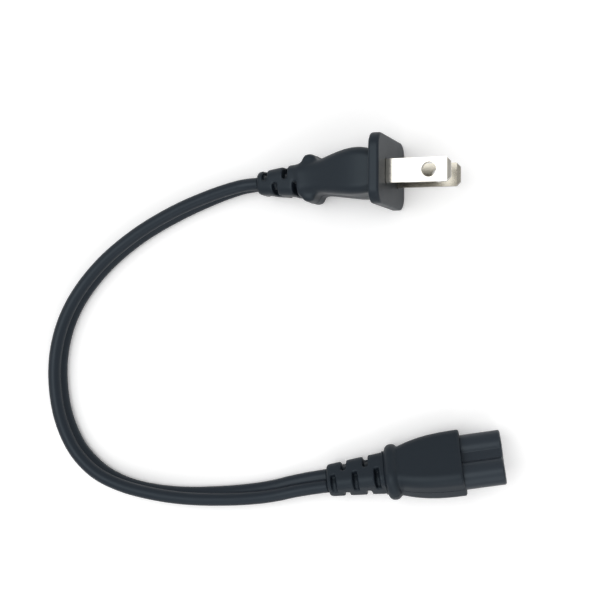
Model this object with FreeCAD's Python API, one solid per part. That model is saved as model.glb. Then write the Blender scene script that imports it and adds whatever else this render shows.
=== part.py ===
import FreeCAD, Part
import math
import os

from FreeCAD import Placement, Rotation, Vector

# A short mains lead lying on a table: a two-blade plug, a flat twin cord in an open C and a
# figure eight connector. Millimetres. +Z is up, +X runs along the plug towards its blades, and
# the origin is under the middle of the plug and the connector, on the table.
# The plug is drawn along X with its face at X = 0 and its blades one above the other.
# The connector is drawn along X from the end of its strain relief to the face of its nose.

# Blades
BLADE_WIDTH = 6.35
BLADE_THICKNESS = 1.5
BLADE_REACH = 17.5
BLADE_ROOT = 6.4
BLADE_SPACING = 12.7
BLADE_HOLE = 4.0
BLADE_HOLE_AT = 11.7
BLADE_CORNER = 1.1
BLADE_BEVEL_LENGTH = 0.9
BLADE_BEVEL_DEPTH = 0.4
BLADE_NECK_WIDTH = 1.5
BLADE_NECK_LENGTH = 2.2

# Wire ends and the barrels that are crimped round them
WIRE_DIAMETER = 1.2
WIRE_BEND = 1.0
CRIMP_WALL = 0.5
CRIMP_LENGTH = 4.2

# Hard bridge that holds the blades
CARRIER_DEPTH = 5.4
CARRIER_COVER = 1.1
CARRIER_SIDE = 1.3
CARRIER_EDGE = 1.6
CARRIER_CORNER = 1.2

# Face plate of the plug
FLANGE_HEIGHT = 28.5
FLANGE_WIDTH = 18.8
FLANGE_THICKNESS = 2.9
FLANGE_CORNER = 4.0
FLANGE_EDGE = 0.5

# Body of the plug, measured behind its face
BODY_WIDTH = 10.8
BODY_HEIGHT = 19.4
BODY_FILLET = 0.8
BODY_FILLET_SINK = 0.1
WAIST_AT = 13.5
WAIST_WIDTH = 11.3
WAIST_HEIGHT = 17.4
NECK_AT = 18.6
NECK_WIDTH = 9.3
NECK_HEIGHT = 14.6
BODY_CORNER = 2.4

# Finger wings
WING_WIDTH = 13.35
WING_SHOULDER_WIDTH = 12.7
WING_HEIGHT = 11.2
WING_CREST_AT = 22.0
WING_SPREAD = 1.4
WING_FRONT_SLOPE = 0.9
WING_REAR_SLOPE = 1.3
WING_END_WIDTH = 8.2
WING_CORNER = 0.8

# How far the middle of the soft moulding lies to the side of the blades' axis
FLANGE_SHIFT = 0.4
BODY_SHIFT = 0.1
WAIST_SHIFT = 0.0
NECK_SHIFT = -0.5
WING_SHIFT = -0.9
RELIEF_SHIFT = -1.3

# Strain relief of the plug
PLUG_RELIEF_AT = 25.3
PLUG_RELIEF_LENGTH = 12.2
PLUG_RELIEF_WIDTH = 8.95
PLUG_RELIEF_HEIGHT = 12.4
PLUG_TAIL_WIDTH = 6.3
PLUG_TAIL_HEIGHT = 8.8
PLUG_TAIL_ROUND = 0.9
PLUG_SLOT_WIDTH = 1.5
PLUG_SLOT_PITCH = 3.08
PLUG_SLOT_FIRST = 2.5
PLUG_SLOT_COUNT = 4
PLUG_RELIEF_BEND = 2.0
PLUG_RELIEF_STEP = 0.15

# Cord
CORD_THICKNESS = 3.5
CORE_SPACING = 3.5
SLEEVE_WALL = 0.2
SPINE = 0.9

# Strain relief of the connector
RELIEF_LENGTH = 16.4
RELIEF_WIDTH = 10.5
RELIEF_HEIGHT = 8.8
TAIL_WIDTH = 8.3
TAIL_HEIGHT = 7.0
TAIL_ROUND = 0.9
RELIEF_CORNER = 2.6
SLOT_WIDTH = 1.4
SLOT_PITCH = 3.05
SLOT_FIRST = 1.95
SLOT_COUNT = 5

# Bead between the strain relief and the connector's body
BEAD_WIDTH = 16.0
BEAD_HEIGHT = 11.0
BEAD_LENGTH = 3.6
BEAD_ROUND = 1.6

# Body of the connector
SHELL_LENGTH = 17.4
SHELL_REAR_WIDTH = 12.0
SHELL_REAR_HEIGHT = 9.4
SHELL_WIDTH = 17.2
SHELL_HEIGHT = 10.6
SHELL_CORNER = 2.9
SHELL_LIP = 0.3

# Figure eight nose
CONTACT_SPACING = 8.6
LOBE_DIAMETER = 7.5
NOSE_WAIST = 4.8
NOSE_WAIST_FILLET = 0.5
NOSE_REACH = 10.9
NOSE_ROOT = 5.0
NOSE_EDGE = 0.35
ANCHOR_LENGTH = 2.0
ANCHOR_WIDTH = 15.2
ANCHOR_HEIGHT = 9.0
ENTRY_DIAMETER = 3.0
ENTRY_DEPTH = 3.0
ENTRY_CHAMFER = 0.35

# Rolled contacts
SLEEVE_OUTER = 3.4
SLEEVE_INNER = 2.56
SLEEVE_LENGTH = 9.0
SLEEVE_SLIT = 0.5
SLEEVE_FLOOR = 0.4
CONTACT_NECK_WIDTH = 1.4
CONTACT_NECK_DROP = 0.9
CONTACT_NECK_LENGTH = 4.2

# How the two ends lie on the table
PLUG_FACE_X = 3.238
PLUG_FACE_Y = 39.31
PLUG_YAW = -0.3
PLUG_TILT = 15.0
CONNECTOR_TAIL_X = -14.362
CONNECTOR_TAIL_Y = -44.48
CONNECTOR_YAW = 8.9
CONNECTOR_PITCH = 6.0
CONNECTOR_ROLL = 38.0

# Route of the cord between its first and last straight pieces, and how far the broad face of
# the cord leans over at each point: 90 stands on edge and 0 lies flat
PLUG_EXIT_RUN = 4.2
CONNECTOR_EXIT_RUN = 8.0
CORD_POINTS = [
    Vector(-42.12, 36.25, 3.57),
    Vector(-47.82, 34.20, 3.53),
    Vector(-57.07, 30.22, 3.50),
    Vector(-68.62, 23.57, 3.47),
    Vector(-79.42, 14.32, 3.46),
    Vector(-87.52, 2.87, 3.45),
    Vector(-91.22, -10.18, 3.44),
    Vector(-90.42, -24.13, 3.43),
    Vector(-86.47, -34.83, 3.44),
    Vector(-81.02, -41.28, 3.46),
    Vector(-75.27, -44.98, 3.50),
    Vector(-67.42, -47.68, 3.52),
    Vector(-55.82, -49.38, 3.48),
    Vector(-42.42, -49.23, 3.39),
    Vector(-30.77, -48.08, 3.42),
]
CORD_LEANS = [87, 83, 78, 74, 75, 74, 74, 72, 71, 70, 71, 79, 83, 74, 60, 50, 43]

BIG = 60.0


# Wires across the X axis

def polar(x, y, z, radius, angle):
    """Point on a circle across X, at an angle from Y towards Z."""
    turn = math.radians(angle)
    return Vector(x, y + radius * math.cos(turn), z + radius * math.sin(turn))


def rounded_section(x, width, height, corner, shift=0.0):
    """Rounded rectangle across X, with its middle on the axis or shifted along Y."""
    side = width / 2 - corner
    rise = height / 2 - corner
    right, left = shift + side, shift - side
    centres = [(right, rise, 0), (left, rise, 90), (left, -rise, 180), (right, -rise, 270)]
    edges = []
    for index, (y, z, start) in enumerate(centres):
        first = polar(x, y, z, corner, start)
        middle = polar(x, y, z, corner, start + 45)
        last = polar(x, y, z, corner, start + 90)
        edges.append(Part.Arc(first, middle, last).toShape())
        next_y, next_z, next_start = centres[(index + 1) % 4]
        edges.append(Part.LineSegment(last, polar(x, next_y, next_z, corner, next_start)).toShape())
    return Part.Wire(edges)


def stadium_section(x, width, height):
    """Oblong across X with full round ends."""
    radius = height / 2
    side = width / 2 - radius
    right_top, left_top = polar(x, side, 0, radius, 90), polar(x, -side, 0, radius, 90)
    right_foot, left_foot = polar(x, side, 0, radius, 270), polar(x, -side, 0, radius, 270)
    top = Part.LineSegment(right_top, left_top).toShape()
    left = Part.Arc(left_top, polar(x, -side, 0, radius, 180), left_foot).toShape()
    bottom = Part.LineSegment(left_foot, right_foot).toShape()
    right = Part.Arc(right_foot, polar(x, side, 0, radius, 0), right_top).toShape()
    return Part.Wire([top, left, bottom, right])


def loft(sections):
    """Smooth solid through a row of sections."""
    return Part.makeLoft(sections, True, False)


def straight_loft(sections):
    """Solid with straight sides between each section and the next."""
    pieces = [Part.makeLoft([a, b], True, True) for a, b in zip(sections, sections[1:])]
    return pieces[0].multiFuse(pieces[1:]) if len(pieces) > 1 else pieces[0]


def extrude(wire, length):
    return Part.Face(wire).extrude(Vector(length, 0, 0))


def rod(x, y, z, diameter, length):
    return Part.makeCylinder(diameter / 2, length, Vector(x, y, z), Vector(1, 0, 0))


def block(x, y, z, length, width, height):
    """Box along X from x, centred on y and z."""
    return Part.makeBox(length, width, height, Vector(x, y - width / 2, z - height / 2))


def end_edges(shape, x):
    """Edges that lie wholly in the plane across X at x."""
    found = []
    for edge in shape.Edges:
        box = edge.BoundBox
        if abs(box.XMin - x) < 1e-4 and abs(box.XMax - x) < 1e-4:
            found.append(edge)
    return found


def mirrored(shape):
    """Copy on the other side of the XY plane."""
    return shape.mirror(Vector(0, 0, 0), Vector(0, 0, 1))


def one_solid(shape):
    """The single solid of a finished piece."""
    solids = shape.Solids
    if len(solids) != 1:
        raise ValueError(f"expected one solid, found {len(solids)}")
    return solids[0]


# Tubes along a route of straight runs joined by tangent arcs

def level_side(tangent):
    """Level unit vector across a run, pointing to the outside of the C."""
    side = tangent.cross(Vector(0, 0, 1))
    return side.normalize()


def leaning(tangent, lean):
    """The cord's broad direction across a run, for a lean in degrees."""
    side = level_side(tangent)
    up = side.cross(tangent)
    turn = math.radians(lean)
    return side * math.cos(turn) + up * math.sin(turn)


def flat_wire(centre, tangent, broad):
    """Oblong section of the flat cord, with its broad direction given."""
    thin = broad.cross(tangent).normalize() * (CORD_THICKNESS / 2)
    half = broad * (CORE_SPACING / 2)
    tip = broad * (CORD_THICKNESS / 2)
    a, b = centre + half, centre - half
    top = Part.LineSegment(a + thin, b + thin).toShape()
    far = Part.Arc(b + thin, b - tip, b - thin).toShape()
    bottom = Part.LineSegment(b - thin, a - thin).toShape()
    near = Part.Arc(a - thin, a + tip, a + thin).toShape()
    return Part.Wire([top, far, bottom, near])


def round_wire(centre, tangent, broad):
    """Round section of a bare conductor, with its two halves split along the broad direction."""
    half = broad * (WIRE_DIAMETER / 2)
    thin = broad.cross(tangent).normalize() * (WIRE_DIAMETER / 2)
    a = Part.Arc(centre + half, centre + thin, centre - half).toShape()
    b = Part.Arc(centre - half, centre - thin, centre + half).toShape()
    return Part.Wire([a, b])


def corner_arc(before, point, after, most):
    """Start, centre, axis and angle of the arc that rounds a corner of a route."""
    into = (point - before).normalize()
    out = (after - point).normalize()
    turn = math.acos(max(-1.0, min(1.0, into.dot(out))))
    shorter = min((point - before).Length, (after - point).Length)
    cut = min(0.45 * shorter, most)
    radius = cut / math.tan(turn / 2)
    axis = into.cross(out).normalize()
    start = point - into * cut
    centre = start + axis.cross(into).normalize() * radius
    end = point + out * cut
    return {"start": start, "centre": centre, "axis": axis, "turn": turn, "radius": radius, "end": end}


def tube(points, wire_at, broads, most=BIG):
    """Solid along a route. Its section starts at the first broad direction, and turns to the one
    given at each run's end if there are more."""
    pieces = []
    length = 0.0
    radii = []
    here = points[0]
    broad = broads[0]
    for index in range(1, len(points)):
        tangent = (points[index] - points[index - 1]).normalize()
        last = index == len(points) - 1
        arc = None if last else corner_arc(points[index - 1], points[index], points[index + 1], most)
        there = points[index] if last else arc["start"]
        aim = broads[index] if len(broads) > 1 else broad
        aim = (aim - tangent * aim.dot(tangent)).normalize()
        if broad.getAngle(aim) < 1e-6:
            pieces.append(Part.Face(wire_at(here, tangent, broad)).extrude(there - here))
        else:
            pieces.append(straight_loft([wire_at(here, tangent, broad), wire_at(there, tangent, aim)]))
        length += (there - here).Length
        broad = aim
        here = there
        if arc:
            face = Part.Face(wire_at(there, tangent, broad))
            pieces.append(face.revolve(arc["centre"], arc["axis"], math.degrees(arc["turn"])))
            broad = Rotation(arc["axis"], math.degrees(arc["turn"])).multVec(broad)
            length += arc["radius"] * arc["turn"]
            radii.append(arc["radius"])
            here = arc["end"]
    whole = pieces[0].multiFuse(pieces[1:])
    return one_solid(whole), length, radii


# Plug, along X with its face at X = 0

def blade():
    """Upper blade: flat tongue with a hole, bevelled tip, neck and crimp barrel."""
    z = BLADE_SPACING / 2
    half = BLADE_WIDTH / 2
    tip = BLADE_REACH
    outline = [
        Vector(-BLADE_ROOT, -half, 0),
        Vector(tip - BLADE_CORNER, -half, 0),
        Vector(tip, -half + BLADE_CORNER, 0),
        Vector(tip, half - BLADE_CORNER, 0),
        Vector(tip - BLADE_CORNER, half, 0),
        Vector(-BLADE_ROOT, half, 0),
    ]
    face = Part.Face(Part.makePolygon(outline + outline[:1]))
    face.translate(Vector(0, 0, z - BLADE_THICKNESS / 2))
    tongue = face.extrude(Vector(0, 0, BLADE_THICKNESS))
    hole = Part.makeCylinder(BLADE_HOLE / 2, BIG, Vector(BLADE_HOLE_AT, 0, 0))
    tongue = tongue.cut(hole)
    for way in (1, -1):
        edge = z + way * BLADE_THICKNESS / 2
        wedge = Part.Face(Part.makePolygon([
            Vector(tip - BLADE_BEVEL_LENGTH, -half, edge),
            Vector(tip, -half, edge),
            Vector(tip, -half, edge - way * BLADE_BEVEL_DEPTH),
            Vector(tip - BLADE_BEVEL_LENGTH, -half, edge),
        ]))
        tongue = tongue.cut(wedge.extrude(Vector(0, BLADE_WIDTH, 0)))
    barrel_end = -BLADE_ROOT - BLADE_NECK_LENGTH - CRIMP_LENGTH
    outer = WIRE_DIAMETER + 2 * CRIMP_WALL
    neck_end = -BLADE_ROOT - BLADE_NECK_LENGTH
    neck = block(neck_end, 0, z, BLADE_NECK_LENGTH, BLADE_NECK_WIDTH, BLADE_THICKNESS)
    bore = rod(barrel_end, 0, z, WIRE_DIAMETER, CRIMP_LENGTH)
    barrel = rod(barrel_end, 0, z, outer, CRIMP_LENGTH).cut(bore)
    return one_solid(tongue.fuse([neck, barrel]).removeSplitter())


def blade_carrier(blades):
    """Hard bridge round the roots of both blades."""
    height = BLADE_SPACING + BLADE_THICKNESS + 2 * CARRIER_EDGE
    width = BLADE_WIDTH + 2 * CARRIER_SIDE
    rear = -CARRIER_COVER - CARRIER_DEPTH
    bridge = extrude(rounded_section(rear, width, height, CARRIER_CORNER), CARRIER_DEPTH)
    return one_solid(bridge.cut(blades))


def relief_bend():
    """Placement of the plug's strain relief, drawn backwards from the origin, behind its body."""
    turn = Rotation(Vector(0, 0, 1), PLUG_RELIEF_BEND)
    return Placement(Vector(-PLUG_RELIEF_AT, RELIEF_SHIFT, 0), turn)


def plug_wire():
    """Bare end of the upper conductor, from its crimp barrel to the end of the strain relief."""
    crimp_front = -BLADE_ROOT - BLADE_NECK_LENGTH
    blade_z = BLADE_SPACING / 2
    core_z = CORE_SPACING / 2
    bend = relief_bend()
    route = [
        Vector(crimp_front, 0, blade_z),
        Vector(crimp_front - CRIMP_LENGTH - 1.6, 0, blade_z),
        bend.multVec(Vector(0, 0, core_z)),
        bend.multVec(Vector(-PLUG_RELIEF_LENGTH, 0, core_z)),
    ]
    return tube(route, round_wire, [Vector(0, 1, 0)], WIRE_BEND)[0]


def relief_slots(tail, pitch, first, count, width, core, broad_is_upright):
    """Slots on two opposite quarters of a strain relief, on the other two at the next station."""
    core_wide = CORE_SPACING + CORD_THICKNESS + 2 * SLEEVE_WALL
    core_thin = CORD_THICKNESS + 2 * SLEEVE_WALL
    height, depth = (core_wide, core_thin) if broad_is_upright else (core_thin, core_wide)
    cutters = []
    for index in range(count):
        x = tail + first + index * pitch - width / 2
        middle = rounded_section(x, depth, height, min(depth, height) / 2 - 0.05)
        keep = extrude(middle, width)
        way = 1 if index % 2 == core else -1
        for side in (1, -1):
            quarter = Part.makeBox(width, BIG, BIG)
            y = SPINE / 2 if side > 0 else -SPINE / 2 - BIG
            z = SPINE / 2 if side * way > 0 else -SPINE / 2 - BIG
            quarter.translate(Vector(x, y, z))
            cutters.append(quarter.cut(keep))
    return cutters


def plug_shell():
    """Outside of the plug's moulding."""
    rear = -FLANGE_THICKNESS
    root = -PLUG_RELIEF_AT
    plate = rounded_section(rear, FLANGE_WIDTH, FLANGE_HEIGHT, FLANGE_CORNER, FLANGE_SHIFT)
    flange = extrude(plate, FLANGE_THICKNESS)
    flange = flange.makeFillet(FLANGE_EDGE, end_edges(flange, 0) + end_edges(flange, rear))
    end_width = PLUG_RELIEF_WIDTH + 2 * PLUG_RELIEF_STEP
    end_height = PLUG_RELIEF_HEIGHT + 2 * PLUG_RELIEF_STEP
    body = loft([
        rounded_section(rear + 0.5, BODY_WIDTH, BODY_HEIGHT, BODY_CORNER, BODY_SHIFT),
        rounded_section(-WAIST_AT, WAIST_WIDTH, WAIST_HEIGHT, BODY_CORNER, WAIST_SHIFT),
        rounded_section(-NECK_AT, NECK_WIDTH, NECK_HEIGHT, BODY_CORNER, NECK_SHIFT),
        rounded_section(root, end_width, end_height, BODY_CORNER, RELIEF_SHIFT),
    ])
    collar = []
    for step in range(5):
        turn = math.radians(22.5 * step)
        grow = 2 * BODY_FILLET * (1 - math.sin(turn)) - 2 * BODY_FILLET_SINK * step / 4
        x = rear - BODY_FILLET * (1 - math.cos(turn))
        width, height = BODY_WIDTH + grow, BODY_HEIGHT + grow
        collar.append(rounded_section(x, width, height, BODY_CORNER + grow / 2, BODY_SHIFT))
    crest = -WING_CREST_AT
    front = crest + WING_SPREAD
    back = crest - WING_SPREAD
    wings = straight_loft([
        rounded_section(front + WING_FRONT_SLOPE, WING_END_WIDTH, WING_HEIGHT, WING_CORNER, NECK_SHIFT),
        rounded_section(front, WING_SHOULDER_WIDTH, WING_HEIGHT, WING_CORNER, WING_SHIFT),
        rounded_section(crest, WING_WIDTH, WING_HEIGHT, WING_CORNER, WING_SHIFT),
        rounded_section(back, WING_SHOULDER_WIDTH, WING_HEIGHT, WING_CORNER, WING_SHIFT),
        rounded_section(back - WING_REAR_SLOPE, WING_END_WIDTH, WING_HEIGHT, WING_CORNER, RELIEF_SHIFT),
    ])
    tail = -PLUG_RELIEF_LENGTH
    relief = straight_loft([
        rounded_section(0.5, PLUG_RELIEF_WIDTH, PLUG_RELIEF_HEIGHT, BODY_CORNER),
        rounded_section(tail, PLUG_TAIL_WIDTH, PLUG_TAIL_HEIGHT, BODY_CORNER),
    ])
    relief = relief.makeFillet(PLUG_TAIL_ROUND, end_edges(relief, tail))
    cutters = relief_slots(tail, PLUG_SLOT_PITCH, PLUG_SLOT_FIRST, PLUG_SLOT_COUNT, PLUG_SLOT_WIDTH, 0, True)
    relief = relief.cut(cutters).transformed(relief_bend().toMatrix(), True)
    return flange.fuse([body, straight_loft(collar), wings, relief])


# Connector, along X from the tail of its strain relief

NOSE_END = RELIEF_LENGTH + BEAD_LENGTH + SHELL_LENGTH + NOSE_REACH
SHELL_FRONT = NOSE_END - NOSE_REACH
NOSE_REAR = SHELL_FRONT - NOSE_ROOT
SLEEVE_FRONT = NOSE_END - ENTRY_DEPTH
SLEEVE_REAR = SLEEVE_FRONT - SLEEVE_LENGTH


def figure_eight(x, length):
    """Two round lobes joined by a thinner waist."""
    lobes = [rod(x, side * CONTACT_SPACING / 2, 0, LOBE_DIAMETER, length) for side in (1, -1)]
    web = block(x, 0, 0, length, CONTACT_SPACING, NOSE_WAIST)
    return web.fuse(lobes).removeSplitter()


def long_inner_edges(shape, length):
    """Straight edges along X where the waist meets the lobes."""
    found = []
    for edge in shape.Edges:
        box = edge.BoundBox
        if box.XLength > length - 1e-3 and abs(box.YMin) < CONTACT_SPACING / 2 and box.YLength < 1e-6:
            if abs(abs(box.ZMin) - NOSE_WAIST / 2) < 1e-6:
                found.append(edge)
    return found


def contact(side):
    """Rolled sleeve with a slit, closed by a floor, with a neck and a crimp barrel behind it."""
    y = side * CONTACT_SPACING / 2
    outer = WIRE_DIAMETER + 2 * CRIMP_WALL
    sleeve = rod(SLEEVE_REAR, y, 0, SLEEVE_OUTER, SLEEVE_LENGTH)
    inner_rear = SLEEVE_REAR + SLEEVE_FLOOR
    sleeve = sleeve.cut(rod(inner_rear, y, 0, SLEEVE_INNER, SLEEVE_LENGTH))
    slit = block(inner_rear, y, SLEEVE_OUTER / 2, SLEEVE_LENGTH, SLEEVE_SLIT, SLEEVE_OUTER)
    neck_rear = SLEEVE_REAR - CONTACT_NECK_LENGTH - CRIMP_LENGTH / 8
    neck_length = SLEEVE_REAR - neck_rear
    neck = block(neck_rear, y, -CONTACT_NECK_DROP, neck_length, CONTACT_NECK_WIDTH, SLEEVE_FLOOR)
    barrel_rear = SLEEVE_REAR - CONTACT_NECK_LENGTH - CRIMP_LENGTH
    bore = rod(barrel_rear, y, 0, WIRE_DIAMETER, CRIMP_LENGTH)
    barrel = rod(barrel_rear, y, 0, outer, CRIMP_LENGTH).cut(bore)
    return one_solid(sleeve.cut(slit).fuse([neck, barrel]).removeSplitter())


def connector_wire(side):
    """Bare end of one conductor, from its crimp barrel to the end of the strain relief."""
    crimp_front = SLEEVE_REAR - CONTACT_NECK_LENGTH
    contact_y = side * CONTACT_SPACING / 2
    core_y = side * CORE_SPACING / 2
    route = [
        Vector(crimp_front, contact_y, 0),
        Vector(crimp_front - CRIMP_LENGTH - 1.2, contact_y, 0),
        Vector(RELIEF_LENGTH, core_y, 0),
        Vector(0, core_y, 0),
    ]
    return tube(route, round_wire, [Vector(0, 0, 1)], WIRE_BEND)[0]


def connector_nose(contacts):
    """Hard insert: figure eight nose, an anchor step inside the body, and the contact holes."""
    nose = figure_eight(NOSE_REAR, NOSE_END - NOSE_REAR)
    nose = nose.makeFillet(NOSE_WAIST_FILLET, long_inner_edges(nose, NOSE_END - NOSE_REAR))
    nose = nose.makeChamfer(NOSE_EDGE, end_edges(nose, NOSE_END))
    anchor = extrude(rounded_section(NOSE_REAR, ANCHOR_WIDTH, ANCHOR_HEIGHT, SHELL_CORNER), ANCHOR_LENGTH)
    insert = nose.fuse(anchor)
    for side in (1, -1):
        y = side * CONTACT_SPACING / 2
        mouth = Part.makeCone(ENTRY_DIAMETER / 2, ENTRY_DIAMETER / 2 + ENTRY_CHAMFER, ENTRY_CHAMFER,
                              Vector(NOSE_END - ENTRY_CHAMFER, y, 0), Vector(1, 0, 0))
        insert = insert.cut([rod(SLEEVE_FRONT, y, 0, ENTRY_DIAMETER, ENTRY_DEPTH), mouth])
        insert = insert.cut(rod(SLEEVE_REAR, y, 0, SLEEVE_OUTER, SLEEVE_LENGTH))
    return one_solid(insert.cut(contacts))


def connector_shell():
    """Outside of the connector's moulding."""
    relief = straight_loft([
        rounded_section(0, TAIL_WIDTH, TAIL_HEIGHT, RELIEF_CORNER),
        rounded_section(RELIEF_LENGTH + 0.5, RELIEF_WIDTH, RELIEF_HEIGHT, RELIEF_CORNER),
    ])
    relief = relief.makeFillet(TAIL_ROUND, end_edges(relief, 0))
    relief = relief.cut(relief_slots(0, SLOT_PITCH, SLOT_FIRST, SLOT_COUNT, SLOT_WIDTH, 1, False))
    bead = extrude(stadium_section(RELIEF_LENGTH, BEAD_WIDTH, BEAD_HEIGHT), BEAD_LENGTH)
    bead_edges = end_edges(bead, RELIEF_LENGTH) + end_edges(bead, RELIEF_LENGTH + BEAD_LENGTH)
    bead = bead.makeFillet(BEAD_ROUND, bead_edges)
    rear = RELIEF_LENGTH + BEAD_LENGTH - 0.5
    length = SHELL_FRONT - rear
    sections = []
    for share in (0.0, 0.22, 0.48, 0.75, 1.0):
        swell = 1 - (1 - share) ** 2.7
        width = SHELL_REAR_WIDTH + (SHELL_WIDTH - SHELL_REAR_WIDTH) * swell
        height = SHELL_REAR_HEIGHT + (SHELL_HEIGHT - SHELL_REAR_HEIGHT) * swell
        sections.append(rounded_section(rear + length * share, width, height, SHELL_CORNER))
    shell = loft(sections)
    shell = shell.makeChamfer(SHELL_LIP, end_edges(shell, SHELL_FRONT))
    return relief.fuse([bead, shell])


# Laying the two ends on the table

def lowest(shape):
    """Height of the lowest point, from a fine mesh of the turned shape."""
    return min(point.z for point in shape.tessellate(0.02)[0])


def lay(x, y, yaw, pitch, roll, outside):
    """Placement that turns a group, puts its own origin over x, y and rests it on the table."""
    turn = Rotation(Vector(0, 0, 1), yaw)
    turn = turn.multiply(Rotation(Vector(0, 1, 0), -pitch))
    turn = turn.multiply(Rotation(Vector(1, 0, 0), -roll))
    trial = outside.copy()
    trial.Placement = Placement(Vector(x, y, 0), turn)
    return Placement(Vector(x, y, -lowest(trial)), turn)


def main():
    os.makedirs("parts", exist_ok=True)

    upper = blade()
    lower = mirrored(upper)
    carrier = blade_carrier([upper, lower])
    wire_upper = plug_wire()
    wire_lower = mirrored(wire_upper)
    shell = plug_shell()
    body = one_solid(shell.cut([carrier, upper, lower, wire_upper, wire_lower]))
    plug = {
        "plug_body": body,
        "blade_carrier": carrier,
        "blade_upper": upper,
        "blade_lower": lower,
        "plug_wire_upper": wire_upper,
        "plug_wire_lower": wire_lower,
    }

    contacts = [contact(1), contact(-1)]
    nose = connector_nose(contacts)
    wires = [connector_wire(1), connector_wire(-1)]
    outside = connector_shell()
    insert_space = nose.fuse([rod(SLEEVE_REAR, side * CONTACT_SPACING / 2, 0, SLEEVE_OUTER, SLEEVE_LENGTH)
                              for side in (1, -1)])
    connector_body = one_solid(outside.cut([insert_space] + contacts + wires))
    connector = {
        "connector_body": connector_body,
        "connector_nose": nose,
        "contact_inner": contacts[0],
        "contact_outer": contacts[1],
        "connector_wire_inner": wires[0],
        "connector_wire_outer": wires[1],
    }

    plug_place = lay(PLUG_FACE_X, PLUG_FACE_Y, PLUG_YAW, PLUG_TILT, 0, body)
    connector_place = lay(CONNECTOR_TAIL_X, CONNECTOR_TAIL_Y, CONNECTOR_YAW, CONNECTOR_PITCH,
                          CONNECTOR_ROLL, connector_body)
    pieces = {}
    for name, shape in plug.items():
        pieces[name] = shape.transformed(plug_place.toMatrix(), True)
    for name, shape in connector.items():
        pieces[name] = shape.transformed(connector_place.toMatrix(), True)

    bend = relief_bend()
    start = plug_place.multVec(bend.multVec(Vector(-PLUG_RELIEF_LENGTH, 0, 0)))
    after_start = plug_place.multVec(bend.multVec(Vector(-PLUG_RELIEF_LENGTH - PLUG_EXIT_RUN, 0, 0)))
    end = connector_place.multVec(Vector(0, 0, 0))
    before_end = connector_place.multVec(Vector(-CONNECTOR_EXIT_RUN, 0, 0))
    route = [start, after_start] + CORD_POINTS + [before_end, end]
    broads = [plug_place.Rotation.multVec(Vector(0, 0, 1))]
    for index, lean in enumerate(CORD_LEANS):
        tangent = (route[index + 1] - route[index]).normalize()
        broads.append(leaning(tangent, lean))
    broads.append(connector_place.Rotation.multVec(Vector(0, -1, 0)))
    cord, length, radii = tube(route, flat_wire, broads)
    pieces["cord"] = cord

    section = CORD_THICKNESS * CORE_SPACING + math.pi * CORD_THICKNESS ** 2 / 4
    print("cord length", round(length, 2), "volume", round(cord.Volume, 1), "section times length",
          round(section * length, 1), "lowest", round(lowest(cord), 3))
    print("cord radii", [round(radius, 1) for radius in radii])
    print("cord points", [[round(value, 2) for value in point] for point in route])
    ends = Part.makeCompound([shape for name, shape in pieces.items() if name != "cord"])
    box = ends.BoundBox
    corners = (box.XMin, box.XMax, box.YMin, box.YMax, box.ZMin, box.ZMax)
    print("ends box", [round(value, 3) for value in corners],
          "middle", round(box.Center.x, 3), round(box.Center.y, 3))
    for side, name in ((1, "inner"), (-1, "outer")):
        mouth = connector_place.multVec(Vector(NOSE_END, side * CONTACT_SPACING / 2, 0))
        print("contact mouth", name, [round(value, 3) for value in mouth])
    for side, name in ((1, "inner"), (-1, "outer")):
        wall = NOSE_END - ENTRY_CHAMFER - (ENTRY_DEPTH - ENTRY_CHAMFER) / 2
        middle = connector_place.multVec(Vector(wall, side * CONTACT_SPACING / 2, 0))
        print("entry wall middle", name, [round(value, 3) for value in middle])
    print("nose axis", [round(value, 6) for value in connector_place.Rotation.multVec(Vector(1, 0, 0))])
    print("plug face", [round(value, 3) for value in plug_place.Base],
          "axis", [round(value, 6) for value in plug_place.Rotation.multVec(Vector(1, 0, 0))])

    for name, shape in pieces.items():
        if not shape.isValid():
            raise ValueError(name + " is not a valid solid")
        one_solid(shape).exportStep("parts/" + name + ".step")
        print(name, round(shape.Volume, 2))


main()
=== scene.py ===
import math

import bmesh
import bpy
import numpy as np
from bpy.props import FloatProperty, FloatVectorProperty, IntProperty, PointerProperty
from bpy.types import Operator, Panel, PropertyGroup
from mathutils import Matrix, Vector


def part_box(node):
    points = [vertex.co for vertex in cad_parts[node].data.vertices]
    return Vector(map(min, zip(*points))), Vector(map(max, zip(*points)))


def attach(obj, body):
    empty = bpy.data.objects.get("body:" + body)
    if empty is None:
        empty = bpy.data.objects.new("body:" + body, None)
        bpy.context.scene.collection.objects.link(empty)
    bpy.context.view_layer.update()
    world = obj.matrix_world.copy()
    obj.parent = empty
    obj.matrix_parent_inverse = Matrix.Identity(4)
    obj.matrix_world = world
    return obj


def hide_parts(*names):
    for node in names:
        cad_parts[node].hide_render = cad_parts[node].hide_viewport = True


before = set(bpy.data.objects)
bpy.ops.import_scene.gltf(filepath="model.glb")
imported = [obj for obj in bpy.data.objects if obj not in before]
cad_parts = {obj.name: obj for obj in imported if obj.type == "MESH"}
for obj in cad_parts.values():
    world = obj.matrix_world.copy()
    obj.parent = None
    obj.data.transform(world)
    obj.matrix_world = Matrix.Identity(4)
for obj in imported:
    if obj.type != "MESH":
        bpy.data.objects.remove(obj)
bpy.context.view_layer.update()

# The dressing of a short mains lead: a two-blade plug, a flat twin cord and a figure eight
# connector. Lengths are in metres and angles in degrees.

bl_info = {
    "name": "Figure eight mains lead",
    "version": (1, 0, 0),
    "blender": (4, 5, 0),
    "location": "View3D > Sidebar > Lead",
    "description": "Dresses and lights the mouldings, blades and flat cord of a short mains lead",
    "category": "Object",
}

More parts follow.
